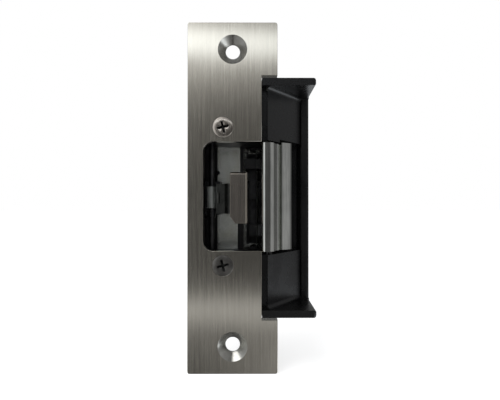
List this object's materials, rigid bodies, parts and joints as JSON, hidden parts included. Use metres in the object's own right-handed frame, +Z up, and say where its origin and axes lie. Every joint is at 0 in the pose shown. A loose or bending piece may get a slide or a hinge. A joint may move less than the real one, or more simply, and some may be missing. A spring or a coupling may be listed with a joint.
{
  "type": "electric door strike",
  "caption": "Electric door strike: brushed faceplate, swinging keeper in a black lip bracket, latch monitor lever, solenoid lock slide and closed housing.",
  "frame": {"origin": "centre of the faceplate's back face, midway between the two fixing holes", "axes": "+X towards the lip, +Y into the door frame behind the faceplate, +Z up along the faceplate"},
  "size_m": [0.0457, 0.0336, 0.1238],
  "materials": {
    "brushed_stainless": "vertical brushing",
    "polished_stainless": "fine brushed",
    "dark_screw_steel": "darkened",
    "screw_steel": "zinc plated",
    "black_casting": "black painted casting",
    "black_housing": "black painted casting",
    "keeper_steel": "machined steel",
    "pin_steel": "ground",
    "bronze": "sintered bronze",
    "spring_steel": "spring steel",
    "zinc_plate": "zinc plated sheet",
    "black_lever": "black finish",
    "switch_plastic": "moulded",
    "button_plastic": "moulded",
    "tinned_brass": "tinned",
    "black_oxide_steel": "black oxide",
    "black_nylon": "moulded nylon",
    "natural_nylon": "moulded nylon",
    "copper_winding": "enamelled copper wire",
    "soft_iron": "turned",
    "board_laminate": "solder mask",
    "component_epoxy": "moulded epoxy"
  },
  "bodies": {
    "strike_frame": {"faceplate": "brushed_stainless", "faceplate_screw_upper": "polished_stainless", "faceplate_screw_lower": "dark_screw_steel", "lip_bracket": "black_casting", "bracket_screws": "screw_steel", "keeper_pin": "pin_steel", "keeper_spring": "spring_steel", "housing": "black_housing", "cavity_strip": "zinc_plate", "trip_pin": "black_oxide_steel", "trip_spring": "spring_steel", "monitor_switch": "switch_plastic", "switch_terminals": "tinned_brass", "switch_pins": "pin_steel", "slide_guide": "black_nylon", "solenoid_frame": "zinc_plate", "solenoid_bobbin": "natural_nylon", "solenoid_winding": "copper_winding", "solenoid_core": "soft_iron", "plunger_spring": "spring_steel", "solenoid_screws": "screw_steel", "circuit_board": "board_laminate", "board_components": "component_epoxy", "wire_socket": "natural_nylon", "socket_contacts": "tinned_brass", "back_cover": "zinc_plate", "cover_screws": "screw_steel"},
    "keeper": {"keeper": "keeper_steel", "keeper_bushings": "bronze"},
    "lock_slide": {"lock_slide": "black_oxide_steel", "solenoid_plunger": "soft_iron", "plunger_link_pin": "pin_steel"},
    "trip_lever": {"trip_paddle": "polished_stainless", "trip_arm": "black_lever"},
    "switch_button": {"switch_button": "button_plastic"}
  },
  "joints": [
    {"name": "keeper_hinge", "type": "hinge", "parent": "strike_frame", "child": "keeper", "pos_m": [0.0136, 0.0148, 0], "axis": [0, 0, 1], "range_deg": [0, 70], "stiffness_Nm_per_rad": 0.03, "springref_deg": -22.92, "deforming": ["keeper_spring"]},
    {"name": "lock_slide_travel", "type": "slide", "parent": "strike_frame", "child": "lock_slide", "axis": [0, 0, 1], "range_m": [0, 0.005], "stiffness_N_per_m": 60, "springref_m": -0.008, "deforming": ["plunger_spring"]},
    {"name": "trip_lever_hinge", "type": "hinge", "parent": "strike_frame", "child": "trip_lever", "pos_m": [-0.0082, 0.0058, 0], "axis": [0, 0, 1], "range_deg": [0, 30], "stiffness_Nm_per_rad": 0.002, "springref_deg": -28.65, "deforming": ["trip_spring"]},
    {"name": "switch_button_travel", "type": "slide", "parent": "strike_frame", "child": "switch_button", "axis": [0, 1, 0], "range_m": [0, 0.00075]}
  ],
  "couplings": [
    {"joint": "switch_button_travel", "follows": "trip_lever_hinge", "m_per_rad": 0.00137}
  ]
}
